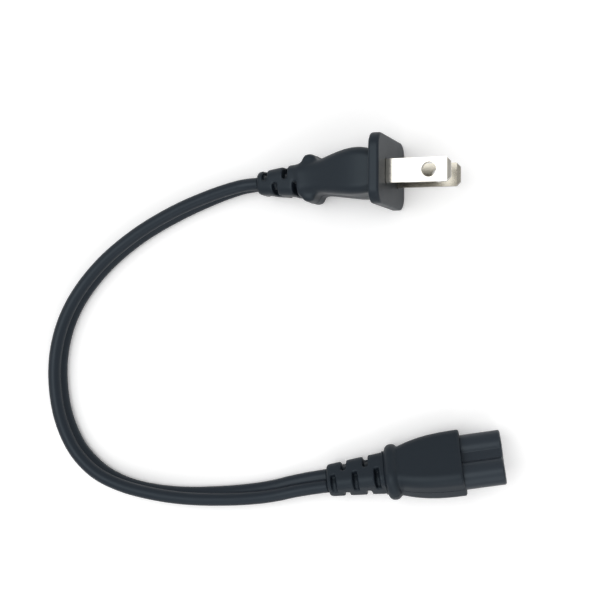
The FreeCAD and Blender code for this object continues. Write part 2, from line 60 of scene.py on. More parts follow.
# How the two mouldings lie on the table: a point on the axis of each, and the yaw, pitch and
# roll of its own frame, whose X axis runs along it.
PLUG_FACE = Vector((0.003238, 0.03931, 0.014403))
PLUG_TURN = (-0.3, 15.0, 0.0)
CONNECTOR_TAIL = Vector((-0.014362, -0.04448, 0.00513))
CONNECTOR_TURN = (8.9, 6.0, 38.0)

# The cord's route from the plug to the connector, and how far its broad face leans over at each
# point: 90 stands on edge, 0 lies flat.
CORD_ROUTE = [
    (-0.03299, 0.03777, 0.00470, 90),
    (-0.03704, 0.03765, 0.00361, 87),
    (-0.04212, 0.03625, 0.00357, 83),
    (-0.04782, 0.03420, 0.00353, 78),
    (-0.05707, 0.03022, 0.00350, 74),
    (-0.06862, 0.02357, 0.00347, 75),
    (-0.07942, 0.01432, 0.00346, 74),
    (-0.08752, 0.00287, 0.00345, 74),
    (-0.09122, -0.01018, 0.00344, 72),
    (-0.09042, -0.02413, 0.00343, 71),
    (-0.08647, -0.03483, 0.00344, 70),
    (-0.08102, -0.04128, 0.00346, 71),
    (-0.07527, -0.04498, 0.00350, 79),
    (-0.06742, -0.04768, 0.00352, 83),
    (-0.05582, -0.04938, 0.00348, 74),
    (-0.04242, -0.04923, 0.00339, 60),
    (-0.03077, -0.04808, 0.00342, 50),
    (-0.02222, -0.04571, 0.00429, 43),
    (-0.01436, -0.04448, 0.00513, 38),
]

# How finely the cord is drawn: the samples of its line to each run of the route, the steps
# round a lobe and round a groove's fillet, the rings to each side over which its lean is eased,
# and the length of its outline for the UV map.
ROUTE_SAMPLES = 24
LOBE_STEPS = 18
GROOVE_STEPS = 6
LEAN_RINGS = 12
JACKET_GIRTH = 0.018

# The stretches of each moulding's axis that are smoothed more, where the finger wings rise out
# of the plug's body and along the connector's strain relief: from, to, and how soon it fades.
WING_STRETCH = (-0.0275, -0.0165, 0.0020)
RELIEF_STRETCH = (-0.0100, 0.0155, 0.0010)

# Points of a mesh that are nearer to each other than the first are merged, and samples of the
# cord's line that are nearer than the second.
MERGE_DISTANCE = 1e-7
SAME_SAMPLE = 1e-9

# Where the mould's halves meet: the planes that cut each moulding, as a point and a normal in
# its own frame, the stretches of its axis that carry a raised line, and the line's sides.
MID_PLANE = (Vector((0.0, 0.0, 0.0)), Vector((0.0, 0.0, 1.0)))
COLLAR_PLANE = (Vector((0.0160, 0.0, 0.0)), Vector((1.0, 0.0, 0.0)))
PLUG_LINE = (-0.0262, -0.0002)
CONNECTOR_LINE = (0.0166, 0.0371)
LINE_SIDES = 8

# The planes also cut the seats inside the mouldings. Only what lies further from the axis than
# these is on the outside. For the collar that is a share of its own oval.
FACE_PLATE_FROM = -0.0027
FACE_PLATE_SEAT = 0.0070
PLUG_BODY_SEAT = 0.0036
SHELL_FROM = 0.0211
SHELL_SEAT = 0.0056
BEAD_SEAT = 0.0050
COLLAR_HALF_WIDTH = 0.0052
COLLAR_HALF_HEIGHT = 0.0044
COLLAR_SEAT_SHARE = 0.6

# The plastics: the scale of their cloudiness, the width of a worn edge, how strongly it shows,
# their index of refraction and the tint of their gloss.
CLOUD_SCALE = 160.0
EDGE_WIDTH = 0.00025
MOULDING_WEAR = 1.2
JACKET_WEAR = 0.3
PLASTIC_IOR = 1.38
PLASTIC_TINT = (0.80, 0.93, 1.0, 1)

# The metals: the stretch of the rolling lines, and the scale, onset, growth and roughness of
# the dull patches.
ROLLING_SCALE = (120.0, 5200.0, 5200.0)
PATCH_SCALE = 240.0
PATCH_ONSET = 0.45
PATCH_GROWTH = 1.6
PATCH_ROUGHNESS = 0.12
DULL_NICKEL = (0.42, 0.40, 0.35)
BRASS = (0.72, 0.52, 0.24)
DULL_BRASS = (0.45, 0.33, 0.16)
COPPER = (0.75, 0.36, 0.22)
DULL_COPPER = (0.45, 0.22, 0.14)

# Roughness of each finish.
PLUG_ROUGHNESS = 0.42
CONNECTOR_ROUGHNESS = 0.48
JACKET_ROUGHNESS = 0.42
CARRIER_ROUGHNESS = 0.35
NOSE_ROUGHNESS = 0.36
NICKEL_ROUGHNESS = 0.14
SHADED_NICKEL_ROUGHNESS = 0.24
BRASS_ROUGHNESS = 0.25
COPPER_ROUGHNESS = 0.3

# The table: half its width, how much of its paleness gloss shows, and the distances from the
# middle between which it grows paler.
TABLE_HALF_WIDTH = 3.0
TABLE_IN_GLOSS = 0.25
TABLE_PALER = (0.16, 0.9)

# The even light at the horizon and overhead, as shares of the sky's strength.
SKY_SHARES = (1.15, 0.85)

# The two soft lamps: where each stands, where it points and how wide it is.
WINDOW_PLACE = Vector((-0.38, 0.0, 0.86))
WINDOW_TARGET = Vector((0.0, 0.0, 0.0))
WINDOW_WIDTH = 0.75
CARD_PLACE = Vector((0.05, -0.38, 0.31))
CARD_TARGET = Vector((0.01, -0.045, 0.01))
CARD_WIDTH = 0.36

# The camera: where it stands, where it looks, its right hand side and its angle of view.
CAMERA_PLACE = Vector((0.000388, -0.00167, 0.34917))
CAMERA_LOOK = Vector((-0.06556, 0.02077, -0.99763))
CAMERA_RIGHT = Vector((0.99785, 0.0, -0.06558))
CAMERA_FOCAL_PIXELS = 1240.9
PHOTO_PIXELS = 600


def turn_matrix(place, turn):
    """Matrix that carries a moulding's own frame to where it lies."""
    yaw, pitch, roll = (math.radians(angle) for angle in turn)
    swing = Matrix.Rotation(yaw, 4, "Z") @ Matrix.Rotation(-pitch, 4, "Y")
    return Matrix.Translation(place) @ swing @ Matrix.Rotation(-roll, 4, "X")


PLUG_FRAME = turn_matrix(PLUG_FACE, PLUG_TURN)
CONNECTOR_FRAME = turn_matrix(CONNECTOR_TAIL, CONNECTOR_TURN)


# Settings

class LeadCordSettings(PropertyGroup):
    """Sizes of the flat twin cord"""
    thickness: FloatProperty(
        name="Core thickness", description="Diameter of each of the two cores",
        default=0.0035, unit="LENGTH")
    spacing: FloatProperty(
        name="Core spacing", description="Distance between the middles of the two cores",
        default=0.0035, unit="LENGTH")
    groove: FloatProperty(
        name="Groove radius", description="Radius of the fillet along the groove between the cores",
        default=0.0006, unit="LENGTH")
    step: FloatProperty(
        name="Ring step", description="Distance between the rings of the cord's mesh",
        default=0.0006, unit="LENGTH")


class LeadMouldingSettings(PropertyGroup):
    """How the soft mouldings are eased, and the sizes of their raised lines"""
    plug_cell: FloatProperty(
        name="Plug cell", description="Cell size of the plug's softened skin",
        default=0.00024, unit="LENGTH")
    connector_cell: FloatProperty(
        name="Connector cell", description="Cell size of the connector's softened skin",
        default=0.00022, unit="LENGTH")
    rounds: IntProperty(
        name="Rounds", description="Rounds of smoothing over the whole of a moulding", default=5)
    wing_rounds: IntProperty(
        name="Wing rounds", description="More rounds where the finger wings leave the body",
        default=40)
    relief_rounds: IntProperty(
        name="Relief rounds", description="More rounds over the connector's strain relief",
        default=5)
    ring_radius: FloatProperty(
        name="Collar ring", description="Radius of the thin ring beside the connector's bead",
        default=0.0003, unit="LENGTH")
    line_radius: FloatProperty(
        name="Parting line", description="Radius of the fine line left by the mould's halves",
        default=0.00007, unit="LENGTH")
    line_step: FloatProperty(
        name="Line step", description="Distance between the points of a parting line",
        default=0.0005, unit="LENGTH")


class LeadFinishSettings(PropertyGroup):
    """Colours of the plastics and the plating"""
    moulding: FloatVectorProperty(
        name="Moulding", description="Colour of the soft moulded plastic",
        default=(0.008, 0.012, 0.018), subtype="COLOR")
    jacket: FloatVectorProperty(
        name="Jacket", description="Colour of the cord's jacket",
        default=(0.009, 0.013, 0.020), subtype="COLOR")
    nose: FloatVectorProperty(
        name="Nose", description="Colour of the hard figure eight insert",
        default=(0.016, 0.021, 0.029), subtype="COLOR")
    nickel: FloatVectorProperty(
        name="Nickel", description="Colour of the upper blade's plating",
        default=(0.56, 0.54, 0.49), subtype="COLOR")
    # The lower blade's nickel is the upper blade's nickel painted darker: painted shade for the
    # shade that the upper blade casts on it.
    shaded_nickel: FloatVectorProperty(
        name="Shaded nickel", description="Colour of the lower blade's nickel, darkened as painted shade",
        default=(0.40, 0.38, 0.325), subtype="COLOR")
    skin: FloatProperty(
        name="Skin grain", description="Depth of the fine grain of the moulded skin",
        default=0.00002, unit="LENGTH")


class LeadStageSettings(PropertyGroup):
    """The table and the light"""
    floor: FloatVectorProperty(
        name="Floor", description="Colour of the table",
        default=(0.8, 0.8, 0.8), subtype="COLOR")
    near_white: FloatProperty(
        name="Near white", description="How pale the camera sees the table near the lead",
        default=1.16)
    far_white: FloatProperty(
        name="Far white", description="How pale the camera sees the table far away",
        default=1.5)
    sky: FloatProperty(
        name="Sky", description="Strength of the even light", default=0.72)
    window: FloatProperty(
        name="Window", description="Power of the large soft lamp", default=3.2, unit="POWER")
    card: FloatProperty(
        name="Side card", description="Power of the small soft lamp beside the connector",
        default=0.38, unit="POWER")


# Nodes that shaders and shapes share

def add(tree, kind, **values):
    """New node with its properties set."""
    node = tree.nodes.new(kind)
    for key, value in values.items():
        setattr(node, key, value)
    return node


def feed(tree, socket, value):
    """Links an input to another node's output, or gives it a plain value."""
    if isinstance(value, bpy.types.NodeSocket):
        tree.links.new(value, socket)
    else:
        socket.default_value = value


def math_node(tree, operation, first, second, clamp=False):
    """Sum, product or the like of two numbers."""
    node = add(tree, "ShaderNodeMath", operation=operation, use_clamp=clamp)
    feed(tree, node.inputs[0], first)
    feed(tree, node.inputs[1], second)
    return node.outputs[0]


def mix_node(tree, kind, factor, first, second):
    """Mix of two numbers or two colours."""
    at_first, at_second, at_result = {"FLOAT": (2, 3, 0), "RGBA": (6, 7, 2)}[kind]
    node = add(tree, "ShaderNodeMix", data_type=kind)
    feed(tree, node.inputs["Factor"], factor)
    feed(tree, node.inputs[at_first], first)
    feed(tree, node.inputs[at_second], second)
    return node.outputs[at_result]


def range_node(tree, value, source, target):
    """Number carried from one range to another and held inside it."""
    node = add(tree, "ShaderNodeMapRange")
    feed(tree, node.inputs["Value"], value)
    for label, limit in zip(("From Min", "From Max", "To Min", "To Max"), (*source, *target)):
        node.inputs[label].default_value = limit
    return node.outputs["Result"]


def noise_node(tree, vector, scale, detail):
    """Even cloudy pattern."""
    node = add(tree, "ShaderNodeTexNoise")
    feed(tree, node.inputs["Vector"], vector)
    feed(tree, node.inputs["Scale"], scale)
    feed(tree, node.inputs["Detail"], detail)
    return node.outputs["Fac"]


def bump_node(tree, depth, height, normal=None):
    """Normal of a surface raised by a pattern."""
    node = add(tree, "ShaderNodeBump")
    feed(tree, node.inputs["Distance"], depth)
    feed(tree, node.inputs["Height"], height)
    if normal is not None:
        feed(tree, node.inputs["Normal"], normal)
    return node.outputs["Normal"]


def shared(name, build):
    """The node group of that name, built when it is first needed."""
    return bpy.data.node_groups.get(name) or build(name)


# Shader groups and materials

def surface_group(name, inputs):
    """Shader group with these inputs that puts out a surface's colour, roughness and normal."""
    group = bpy.data.node_groups.new(name, "ShaderNodeTree")
    for label, kind, value in inputs:
        socket = group.interface.new_socket(label, in_out="INPUT", socket_type=kind)
        if value is not None:
            socket.default_value = value
    outputs = (("Colour", "NodeSocketColor"), ("Roughness", "NodeSocketFloat"),
               ("Normal", "NodeSocketVector"))
    for label, kind in outputs:
        group.interface.new_socket(label, in_out="OUTPUT", socket_type=kind)
    return group, add(group, "NodeGroupInput").outputs, add(group, "NodeGroupOutput").inputs


def moulded_skin_group(name):
    """Fine moulded grain, slow cloudiness of the roughness and worn edges."""
    tree, given, result = surface_group(name, [
        ("Vector", "NodeSocketVector", None),
        ("Grain Scale", "NodeSocketFloat", 2600.0),
        ("Grain Depth", "NodeSocketFloat", 0.00002),
        ("Base Roughness", "NodeSocketFloat", 0.42),
        ("Cloud", "NodeSocketFloat", 0.08),
        ("Colour", "NodeSocketColor", (0.008, 0.012, 0.018, 1)),
        ("Worn Colour", "NodeSocketColor", (0.05, 0.052, 0.056, 1)),
        ("Wear", "NodeSocketFloat", MOULDING_WEAR),
    ])
    grain = noise_node(tree, given["Vector"], given["Grain Scale"], 3.0)
    cloud = noise_node(tree, given["Vector"], CLOUD_SCALE, 4.0)
    eased = add(tree, "ShaderNodeBevel", samples=4)
    eased.inputs["Radius"].default_value = EDGE_WIDTH
    normal = bump_node(tree, given["Grain Depth"], grain, eased.outputs["Normal"])
    centred = math_node(tree, "SUBTRACT", cloud, 0.5)
    swing = math_node(tree, "MULTIPLY", centred, given["Cloud"])
    roughness = math_node(tree, "ADD", given["Base Roughness"], swing, True)
    geometry = add(tree, "ShaderNodeNewGeometry")
    facing = add(tree, "ShaderNodeVectorMath", operation="DOT_PRODUCT")
    feed(tree, facing.inputs[0], geometry.outputs["Normal"])
    feed(tree, facing.inputs[1], eased.outputs["Normal"])
    edge = math_node(tree, "SUBTRACT", 1.0, facing.outputs["Value"])
    worn = math_node(tree, "MULTIPLY", edge, given["Wear"], True)
    patchy = math_node(tree, "MULTIPLY", worn, cloud, True)
    colour = mix_node(tree, "RGBA", patchy, given["Colour"], given["Worn Colour"])
    feed(tree, result["Colour"], colour)
    feed(tree, result["Roughness"], roughness)
    feed(tree, result["Normal"], normal)
    return tree


def rolled_metal_group(name):
    """Fine rolling lines along the metal, with slow dull patches."""
    tree, given, result = surface_group(name, [
        ("Vector", "NodeSocketVector", None),
        ("Colour", "NodeSocketColor", (0.7, 0.67, 0.61, 1)),
        ("Dull Colour", "NodeSocketColor", (0.42, 0.39, 0.34, 1)),
        ("Base Roughness", "NodeSocketFloat", 0.24),
        ("Line Depth", "NodeSocketFloat", 0.000004),
    ])
    stretch = add(tree, "ShaderNodeMapping")
    stretch.inputs["Scale"].default_value = ROLLING_SCALE
    feed(tree, stretch.inputs["Vector"], given["Vector"])
    lines = noise_node(tree, stretch.outputs["Vector"], 1.0, 4.0)
    patches = noise_node(tree, given["Vector"], PATCH_SCALE, 5.0)
    onset = math_node(tree, "SUBTRACT", patches, PATCH_ONSET)
    dull = math_node(tree, "MULTIPLY", onset, PATCH_GROWTH, True)
    swing = math_node(tree, "MULTIPLY", dull, PATCH_ROUGHNESS)
    roughness = math_node(tree, "ADD", given["Base Roughness"], swing, True)
    colour = mix_node(tree, "RGBA", dull, given["Colour"], given["Dull Colour"])
    feed(tree, result["Colour"], colour)
    feed(tree, result["Roughness"], roughness)
    feed(tree, result["Normal"], bump_node(tree, given["Line Depth"], lines))
    return tree


def base_material(name):
    """Material with a Principled shader, its tree and the shader."""
    material = bpy.data.materials.new(name)
    material.use_nodes = True
    tree = material.node_tree
    return material, tree, tree.nodes["Principled BSDF"]


def placed_coordinates(tree, place):
    """Object coordinates, turned into a moulding's own frame where one is given."""
    coordinates = add(tree, "ShaderNodeTexCoord")
    if place is None:
        return coordinates.outputs["Object"]
    mapping = add(tree, "ShaderNodeMapping")
    inverse = place.inverted()
    mapping.inputs["Location"].default_value = inverse.to_translation()
    mapping.inputs["Rotation"].default_value = inverse.to_euler()
    feed(tree, mapping.inputs["Vector"], coordinates.outputs["Object"])
    return mapping.outputs["Vector"]


def surface_material(name, group, place, values):
    """Material whose colour, roughness and normal come from a shared group, and its shader."""
    material, tree, shader = base_material(name)
    node = add(tree, "ShaderNodeGroup", node_tree=group)
    feed(tree, node.inputs["Vector"], placed_coordinates(tree, place))
    for label, value in values.items():
        node.inputs[label].default_value = value
    feed(tree, shader.inputs["Base Color"], node.outputs["Colour"])
    feed(tree, shader.inputs["Roughness"], node.outputs["Roughness"])
    feed(tree, shader.inputs["Normal"], node.outputs["Normal"])
    return material, shader


def plastic_material(name, colour, roughness, grain_depth, place=None, wear=MOULDING_WEAR):
    """Moulded plastic with a fine grain and worn edges."""
    values = {"Colour": (*colour, 1), "Base Roughness": roughness, "Grain Depth": grain_depth,
              "Wear": wear}
    group = shared("Moulded skin", moulded_skin_group)
    material, shader = surface_material(name, group, place, values)
    shader.inputs["IOR"].default_value = PLASTIC_IOR
    shader.inputs["Specular Tint"].default_value = PLASTIC_TINT
    return material


def metal_material(name, colour, dull, roughness, place):
    """Plated or bare metal with rolling lines and dull patches."""
    values = {"Colour": (*colour, 1), "Dull Colour": (*dull, 1), "Base Roughness": roughness}
    group = shared("Rolled metal", rolled_metal_group)
    material, shader = surface_material(name, group, place, values)
    shader.inputs["Metallic"].default_value = 1.0
    return material


def dress(material, *nodes):
    """Gives CAD nodes their finish."""
    for node in nodes:
        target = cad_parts[node]
        target.data.materials.clear()
        target.data.materials.append(material)


# Meshes and objects

def plain_mesh(mesh, name):
    """Mesh data made from a finished bmesh."""
    data = bpy.data.meshes.new(name)
    mesh.to_mesh(data)
    mesh.free()
    return data


def place_object(name, data):
    """New object in the scene, at the origin."""
    item = bpy.data.objects.new(name, data)
    bpy.context.scene.collection.objects.link(item)
    return item


def settle(item):
    """Turns an object's modifiers into its own plain, smoothly shaded mesh."""
    rough = item.data
    bpy.context.view_layer.update()
    depsgraph = bpy.context.evaluated_depsgraph_get()
    evaluated = item.evaluated_get(depsgraph)
    item.data = bpy.data.meshes.new_from_object(evaluated, depsgraph=depsgraph)
    item.data.name = item.name
    item.modifiers.clear()
    bpy.data.meshes.remove(rough)
    item.data.polygons.foreach_set("use_smooth", [True] * len(item.data.polygons))


def mesh_points(data):
    """Where a mesh's points are, one row each."""
    points = np.empty(len(data.vertices) * 3)
    data.vertices.foreach_get("co", points)
    return points.reshape(-1, 3)


def move_points(data, points):
    """Puts a mesh's points where the rows say."""
    data.vertices.foreach_set("co", points.ravel())
    data.update()


def keep_inside(data, low, high):
    """Holds a piece's points inside its own solid's box."""
    move_points(data, np.clip(mesh_points(data), np.array(low), np.array(high)))


# The soft mouldings

def stretch_share(points, place, start, end, fade):
    """How fully each point is in a stretch of a moulding's axis, from 1 to 0 past its ends."""
    inverse = np.array(place.inverted())
    along = points @ inverse[0, :3] + inverse[0, 3]
    return np.clip((along - start) / fade, 0, 1) * np.clip((end - along) / fade, 0, 1)


def smooth_mesh(data, rounds, share, more_rounds):
    """Moves points half way to their neighbours' middle, and in the last rounds by their share."""
    points = mesh_points(data)
    count = len(points)
    edges = np.empty(len(data.edges) * 2, dtype=np.int64)
    data.edges.foreach_get("vertices", edges)
    first, second = edges.reshape(-1, 2).T
    degree = np.bincount(first, minlength=count) + np.bincount(second, minlength=count)
    for step in range(rounds + more_rounds):
        middle = np.empty_like(points)
        for axis in range(3):
            total = np.bincount(first, points[second, axis], count)
            total += np.bincount(second, points[first, axis], count)
            middle[:, axis] = total / degree
        weight = 0.5 if step < rounds else 0.5 * share[:, None]
        points = points + weight * (middle - points)
    move_points(data, points)


def softened(node, name, place, cell, rounds, stretch, more_rounds):
    """Closed copy of a moulding with its corners eased as soft plastic leaves the mould."""
    mesh = bmesh.new()
    mesh.from_mesh(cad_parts[node].data)
    bmesh.ops.remove_doubles(mesh, verts=mesh.verts, dist=MERGE_DISTANCE)
    moulding = place_object(name, plain_mesh(mesh, name + "_rough"))
    grid = moulding.modifiers.new("grid", "REMESH")
    grid.mode = "VOXEL"
    grid.voxel_size = cell
    settle(moulding)
    share = stretch_share(mesh_points(moulding.data), place, *stretch)
    smooth_mesh(moulding.data, rounds, share, more_rounds)
    return moulding


# The raised lines of the mould

def on_plug_outside(point):
    """Whether a point of the cut is on the outside of the plug's body or face plate."""
    seat = FACE_PLATE_SEAT if point.x > FACE_PLATE_FROM else PLUG_BODY_SEAT
    return PLUG_LINE[0] < point.x < PLUG_LINE[1] and abs(point.y) > seat


def on_connector_outside(point):
    """Whether a point of the cut is on the outside of the connector's bead or shell."""
    seat = BEAD_SEAT if point.x < SHELL_FROM else SHELL_SEAT
    return CONNECTOR_LINE[0] < point.x < CONNECTOR_LINE[1] and abs(point.y) > seat


def on_collar_outside(point):
    """Whether a point of the cut is on the outside of the connector's collar."""
    across, above = point.y / COLLAR_HALF_WIDTH, point.z / COLLAR_HALF_HEIGHT
    return across ** 2 + above ** 2 > COLLAR_SEAT_SHARE


def cut_outline(data, place, plane, keep):
    """Edges where a plane of a moulding's own frame cuts its outside, as pairs of points."""
    mesh = bmesh.new()
    mesh.from_mesh(data)
    middle, normal = plane
    everything = mesh.verts[:] + mesh.edges[:] + mesh.faces[:]
    cut = bmesh.ops.bisect_plane(mesh, geom=everything, plane_co=place @ middle,
                                 plane_no=place.to_3x3() @ normal)["geom_cut"]
    inverse = place.inverted()
    kept = []
    for edge in cut:
        is_edge = isinstance(edge, bmesh.types.BMEdge)
        if is_edge and all(keep(inverse @ vert.co) for vert in edge.verts):
            kept.append([vert.co.copy() for vert in edge.verts])
    mesh.free()
    return kept


def parting_tree(name):
    """Geometry Nodes tree that lays an even round bead along the edges of a cut outline."""
    tree = bpy.data.node_groups.new(name, "GeometryNodeTree")
    inputs = (("Geometry", "NodeSocketGeometry"), ("Radius", "NodeSocketFloat"),
              ("Step", "NodeSocketFloat"), ("Finish", "NodeSocketMaterial"))
    for label, kind in inputs:
        tree.interface.new_socket(label, in_out="INPUT", socket_type=kind)
    tree.interface.new_socket("Geometry", in_out="OUTPUT", socket_type="NodeSocketGeometry")
    given = add(tree, "NodeGroupInput").outputs
    result = add(tree, "NodeGroupOutput").inputs
    line = add(tree, "GeometryNodeMeshToCurve")
    even = add(tree, "GeometryNodeResampleCurve", mode="LENGTH")
    circle = add(tree, "GeometryNodeCurvePrimitiveCircle")
    bead = add(tree, "GeometryNodeCurveToMesh")
    real = add(tree, "GeometryNodeRealizeInstances")
    paint = add(tree, "GeometryNodeSetMaterial")
    feed(tree, line.inputs[0], given["Geometry"])
    feed(tree, even.inputs["Curve"], line.outputs[0])
    feed(tree, even.inputs["Length"], given["Step"])
    feed(tree, circle.inputs["Resolution"], LINE_SIDES)
    feed(tree, circle.inputs["Radius"], given["Radius"])
    feed(tree, bead.inputs["Curve"], even.outputs[0])
    feed(tree, bead.inputs["Profile Curve"], circle.outputs[0])
    feed(tree, bead.inputs["Fill Caps"], True)
    feed(tree, real.inputs[0], bead.outputs[0])
    feed(tree, paint.inputs["Geometry"], real.outputs[0])
    feed(tree, paint.inputs["Material"], given["Finish"])
    feed(tree, result[0], paint.outputs[0])
    return tree


def parting_line(name, edges, radius, step, material):
    """Raised line or ring along the edges of a cut outline."""
    mesh = bmesh.new()
    for first, second in edges:
        mesh.edges.new((mesh.verts.new(first), mesh.verts.new(second)))
    bmesh.ops.remove_doubles(mesh, verts=mesh.verts, dist=MERGE_DISTANCE)
    line = place_object(name, plain_mesh(mesh, name + "_edges"))
    tree = shared("Parting line", parting_tree)
    sockets = {item.name: item.identifier for item in tree.interface.items_tree
               if item.in_out == "INPUT"}
    modifier = line.modifiers.new("line", "NODES")
    modifier.node_group = tree
    modifier[sockets["Radius"]] = radius
    modifier[sockets["Step"]] = step
    modifier[sockets["Finish"]] = material
    settle(line)
    return line


# The flat cord

def route_line():
    """The cord's smooth line, read from a NURBS curve through the route's control points."""
    curve = bpy.data.curves.new("cord_route", "CURVE")
    curve.dimensions = "3D"
    spline = curve.splines.new("NURBS")
    spline.points.add(len(CORD_ROUTE) - 1)
    for point, entry in zip(spline.points, CORD_ROUTE):
        point.co = (*entry[:3], 1)
    spline.order_u = 3
    spline.use_endpoint_u = True
    spline.resolution_u = ROUTE_SAMPLES
    route = place_object("cord_route", curve)
    bpy.context.view_layer.update()
    mesh = bpy.data.meshes.new_from_object(route)
    line = np.array([vertex.co[:] for vertex in mesh.vertices])
    bpy.data.meshes.remove(mesh)
    bpy.data.objects.remove(route)
    bpy.data.curves.remove(curve)
    return line


def even_line(line, step):
    """The line's points at even distances, and each one's distance from the start."""
    gaps = np.linalg.norm(np.diff(line, axis=0), axis=1)
    line = line[np.concatenate([[True], gaps > SAME_SAMPLE])]
    gaps = np.linalg.norm(np.diff(line, axis=0), axis=1)
    along = np.concatenate([[0.0], np.cumsum(gaps)])
    count = max(2, int(round(along[-1] / step)) + 1)
    stations = np.linspace(0.0, along[-1], count)
    even = np.stack([np.interp(stations, along, line[:, axis]) for axis in range(3)], axis=1)
    return even, stations


def leans_along(points, stations):
    """Lean of the cord at each point of its line, eased between the route's points."""
    route = np.array([entry[:3] for entry in CORD_ROUTE])
    leans = np.array([entry[3] for entry in CORD_ROUTE], dtype=float)
    nearest = [int(np.argmin(np.linalg.norm(points - corner, axis=1))) for corner in route]
    at = stations[nearest]
    at[0], at[-1] = stations[0], stations[-1]
    values = np.interp(stations, at, leans)
    window = np.hanning(2 * LEAN_RINGS + 1)
    window /= window.sum()
    padded = np.pad(values, LEAN_RINGS, mode="edge")
    return np.convolve(padded, window, mode="valid")


def cord_section(settings):
    """Outline of the flat twin cord: two round lobes with a filleted groove on each side."""
    radius = settings.thickness / 2
    middle = settings.spacing / 2
    fillet = settings.groove
    rise = math.sqrt((radius + fillet) ** 2 - middle ** 2)
    reach = math.atan2(rise, -middle)
    low = math.atan2(-rise, middle)
    lobe = []
    for index in range(LOBE_STEPS + 1):
        angle = -reach + 2 * reach * index / LOBE_STEPS
        lobe.append((middle + radius * math.cos(angle), radius * math.sin(angle)))
    groove = []
    for index in range(1, GROOVE_STEPS):
        angle = low - (math.pi + 2 * low) * index / GROOVE_STEPS
        groove.append((fillet * math.cos(angle), rise + fillet * math.sin(angle)))
    half = lobe + groove
    return half + [(-x, -y) for x, y in half]


def build_cord(settings):
    """The cord's tube, the points of its line, and its length."""
    points, stations = even_line(route_line(), settings.step)
    outline = cord_section(settings)
    around = len(outline)
    tangents = np.gradient(points, axis=0)
    tangents /= np.linalg.norm(tangents, axis=1)[:, None]
    mesh = bmesh.new()
    rings = []
    for point, tangent, lean in zip(points, tangents, leans_along(points, stations)):
        side = np.cross(tangent, (0.0, 0.0, 1.0))
        side /= np.linalg.norm(side)
        up = np.cross(side, tangent)
        broad = side * math.cos(math.radians(lean)) + up * math.sin(math.radians(lean))
        thin = np.cross(broad, tangent)
        rings.append([mesh.verts.new(point + broad * x + thin * y) for x, y in outline])
    layer = mesh.loops.layers.uv.new("along")
    for row in range(len(rings) - 1):
        here, there = rings[row], rings[row + 1]
        for column in range(around):
            following = (column + 1) % around
            face = mesh.faces.new((here[column], here[following], there[following], there[column]))
            face.smooth = True
            spans = ((row, column), (row, column + 1), (row + 1, column + 1), (row + 1, column))
            for loop, (down, across) in zip(face.loops, spans):
                loop[layer].uv = (stations[down], across / around * JACKET_GIRTH)
    mesh.faces.new(rings[0])
    mesh.faces.new(list(reversed(rings[-1])))
    bmesh.ops.recalc_face_normals(mesh, faces=mesh.faces[:])
    piece = place_object("flat_cord", plain_mesh(mesh, "flat_cord"))
    return piece, points, float(stations[-1])


# The stage

def table_material(settings):
    """Pale table that reads white to the camera and keeps the shadows."""
    material, tree, shader = base_material("table")
    path = add(tree, "ShaderNodeLightPath").outputs
    gloss = math_node(tree, "MULTIPLY", path["Is Glossy Ray"], TABLE_IN_GLOSS)
    seen = math_node(tree, "MAXIMUM", path["Is Camera Ray"], gloss)
    seen = math_node(tree, "MAXIMUM", seen, path["Is Transmission Ray"])
    coordinates = add(tree, "ShaderNodeTexCoord")
    distance = add(tree, "ShaderNodeVectorMath", operation="LENGTH")
    feed(tree, distance.inputs[0], coordinates.outputs["Object"])
    paler = range_node(tree, distance.outputs["Value"], TABLE_PALER,
                       (settings.near_white, settings.far_white))
    colour = mix_node(tree, "RGBA", seen, (*settings.floor, 1), paler)
    feed(tree, shader.inputs["Base Color"], colour)
    shader.inputs["Roughness"].default_value = 1.0
    shader.inputs["Specular IOR Level"].default_value = 0.0
    return material


def build_table(settings):
    """Wide flat table under the lead."""
    mesh = bmesh.new()
    bmesh.ops.create_grid(mesh, x_segments=1, y_segments=1, size=TABLE_HALF_WIDTH)
    table = place_object("table", plain_mesh(mesh, "table"))
    table.data.materials.append(table_material(settings))


def build_world(settings):
    """Even pale light, dimmer overhead, and white where the camera sees past the table."""
    world = bpy.data.worlds.new("soft room")
    bpy.context.scene.world = world
    world.use_nodes = True
    tree = world.node_tree
    back = tree.nodes["Background"]
    coordinates = add(tree, "ShaderNodeTexCoord")
    split = add(tree, "ShaderNodeSeparateXYZ")
    feed(tree, split.inputs[0], coordinates.outputs["Generated"])
    strengths = [settings.sky * share for share in SKY_SHARES]
    light = range_node(tree, split.outputs["Z"], (0.0, 1.0), strengths)
    path = add(tree, "ShaderNodeLightPath").outputs
    feed(tree, back.inputs["Strength"], mix_node(tree, "FLOAT", path["Is Camera Ray"], light, 1.0))
    back.inputs["Color"].default_value = (1, 1, 1, 1)


def build_lamp(name, place, target, width, power):
    """Round soft lamp aimed at a point."""
    data = bpy.data.lights.new(name, "AREA")
    data.shape = "DISK"
    data.size = width
    data.energy = power
    lamp = place_object(name, data)
    lamp.location = place
    lamp.rotation_mode = "QUATERNION"
    lamp.rotation_quaternion = (target - place).to_track_quat("-Z", "Y")


def build_camera():
    """The camera of the stage, at its own place and angle of view."""
    data = bpy.data.cameras.new("camera")
    data.sensor_fit = "HORIZONTAL"
    data.angle = 2 * math.atan(PHOTO_PIXELS / 2 / CAMERA_FOCAL_PIXELS)
    data.clip_start = 0.01
    camera = place_object("camera", data)
    right = CAMERA_RIGHT.normalized()
    back = -CAMERA_LOOK.normalized()
    turn = Matrix((right, back.cross(right), back)).transposed().to_4x4()
    camera.matrix_world = Matrix.Translation(CAMERA_PLACE) @ turn
    bpy.context.scene.camera = camera


# The steps of the work

